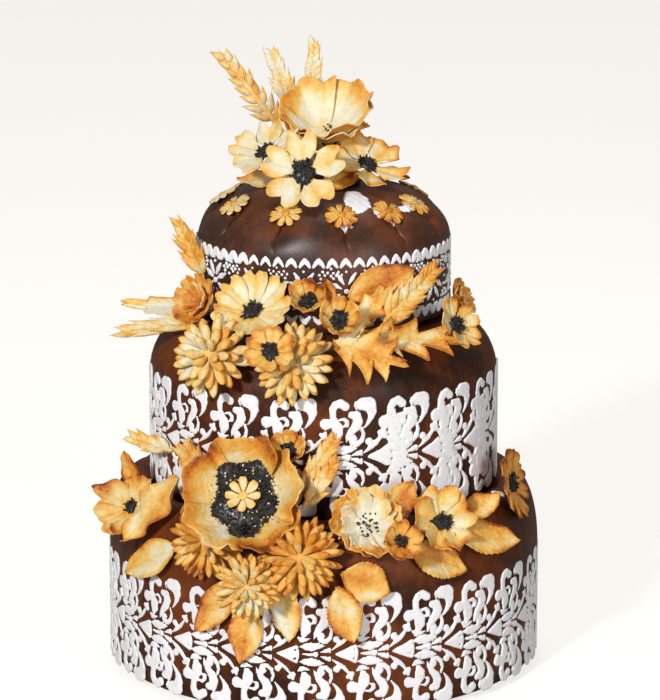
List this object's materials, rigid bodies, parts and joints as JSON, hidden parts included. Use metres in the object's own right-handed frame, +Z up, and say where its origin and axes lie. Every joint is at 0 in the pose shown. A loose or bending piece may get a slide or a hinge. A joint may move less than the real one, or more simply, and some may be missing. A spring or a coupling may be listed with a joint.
{
  "type": "chocolate cake",
  "caption": "Tall round tiered chocolate cake with baked pastry flowers, leaves and wheat ears and white icing bands.",
  "frame": {"origin": "centre of the cake's flat base, on its axis", "axes": "+Z up along the axis of the tiers, the decorated front faces -Y"},
  "size_m": [0.3095, 0.331, 0.4362],
  "materials": {
    "chocolate": "satin dark chocolate covering",
    "pastry_pale": "pale baked pastry with browned edges",
    "pastry_golden": "golden baked pastry",
    "pastry_brown": "well browned baked pastry",
    "icing": "matt white royal icing",
    "seeds": "black seeds"
  },
  "bodies": {
    "root": {"anemone_low_left": "pastry_golden", "anemone_low_right": "pastry_pale", "anemone_mid_right": "pastry_pale", "anemone_mid_small": "pastry_golden", "anemone_top_back": "pastry_pale", "anemone_top_front": "pastry_pale", "anemone_top_left": "pastry_pale", "anemone_top_right": "pastry_golden", "bloom_low_side": "pastry_golden", "bloom_mid_yellow": "pastry_pale", "blossom_low_small": "pastry_golden", "blossom_mid_left": "pastry_golden", "blossom_mid_right": "pastry_brown", "cup_low": "pastry_golden", "cup_mid_lower": "pastry_golden", "cup_mid_upper": "pastry_golden", "ear_low_inner": "pastry_golden", "ear_low_left": "pastry_golden", "ear_low_short": "pastry_golden", "ear_low_tall": "pastry_brown", "ear_mid_feather": "pastry_golden", "ear_mid_flat": "pastry_golden", "ear_mid_upright": "pastry_brown", "ear_top_left": "pastry_golden", "ear_top_mid": "pastry_golden", "ear_top_right": "pastry_golden", "leaf_hang_browned": "pastry_brown", "leaf_hang_left": "pastry_golden", "leaf_hang_mid": "pastry_golden", "leaf_hang_pale": "pastry_pale", "leaf_hang_right": "pastry_golden", "leaf_low_browned": "pastry_brown", "leaf_low_curled": "pastry_pale", "leaf_low_outward": "pastry_golden", "leaf_low_round": "pastry_pale", "leaf_low_tucked": "pastry_brown", "leaf_low_upright": "pastry_golden", "leaf_mid_far": "pastry_pale", "leaf_mid_folded": "pastry_brown", "leaf_mid_oak_long": "pastry_golden", "leaf_mid_oak_low": "pastry_golden", "leaf_mid_toothed": "pastry_golden", "leaf_mid_upright": "pastry_golden", "leaf_right_low": "pastry_golden", "leaf_right_out": "pastry_golden", "leaf_right_up": "pastry_golden", "leaf_top_back": "pastry_golden", "leaf_top_left": "pastry_pale", "leaf_top_right": "pastry_golden", "mum_low_front": "pastry_pale", "mum_low_left": "pastry_golden", "mum_low_right": "pastry_brown", "mum_mid_left": "pastry_golden", "mum_mid_right": "pastry_pale", "poppy_crown": "pastry_pale", "poppy_low": "pastry_golden", "ruffle_low_white": "pastry_pale", "tier_bottom": "chocolate", "tier_middle": "chocolate", "tier_top": "chocolate"}
  },
  "joints": []
}
